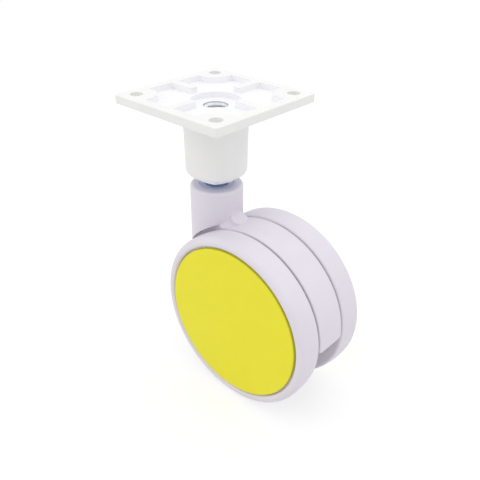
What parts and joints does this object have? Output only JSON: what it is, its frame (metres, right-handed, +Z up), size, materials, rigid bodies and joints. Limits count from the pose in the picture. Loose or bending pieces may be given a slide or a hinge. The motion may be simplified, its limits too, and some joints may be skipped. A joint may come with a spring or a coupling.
{
  "type": "twin-wheel swivel castor",
  "caption": "Swivel furniture castor with paired wheels beside a hooded housing, flat coloured wheel covers and a square screw-on plate with a deep boss.",
  "frame": {"origin": "centre of the screw-on plate's upper face, on the swivel axis", "axes": "+Z up out of the plate's upper face, +X towards the side where the wheels trail, Y along the axle; the left wheel is at -Y"},
  "size_m": [0.0911, 0.055, 0.1254],
  "materials": {
    "plate_plastic": "bright white moulded plastic, satin",
    "body_plastic": "pale lilac-grey moulded plastic, satin",
    "cover_plastic": "lemon yellow moulded plastic with a fine grain",
    "bearing_plastic": "blue-grey bearing plastic",
    "steel": "bright zinc-plated steel"
  },
  "bodies": {
    "plate": {"top_plate": "plate_plastic", "threaded_insert": "steel", "swivel_stem": "steel", "stem_clip": "steel"},
    "housing": {"housing": "body_plastic", "swivel_bush": "bearing_plastic", "thrust_disc": "steel", "axle": "steel", "axle_clip_left": "steel", "axle_clip_right": "steel"},
    "wheel_left": {"wheel_left": "body_plastic", "wheel_bush_left": "bearing_plastic", "wheel_cover_left": "cover_plastic"},
    "wheel_right": {"wheel_right": "body_plastic", "wheel_bush_right": "bearing_plastic", "wheel_cover_right": "cover_plastic"}
  },
  "joints": [
    {"name": "swivel", "type": "hinge", "parent": "plate", "child": "housing", "pos_m": [0, 0, 0], "axis": [0, 0, 1], "continuous": true},
    {"name": "wheel_left_spin", "type": "hinge", "parent": "housing", "child": "wheel_left", "pos_m": [0.0254, 0, -0.0872], "axis": [0, 1, 0], "continuous": true},
    {"name": "wheel_right_spin", "type": "hinge", "parent": "housing", "child": "wheel_right", "pos_m": [0.0254, 0, -0.0872], "axis": [0, 1, 0], "continuous": true}
  ]
}
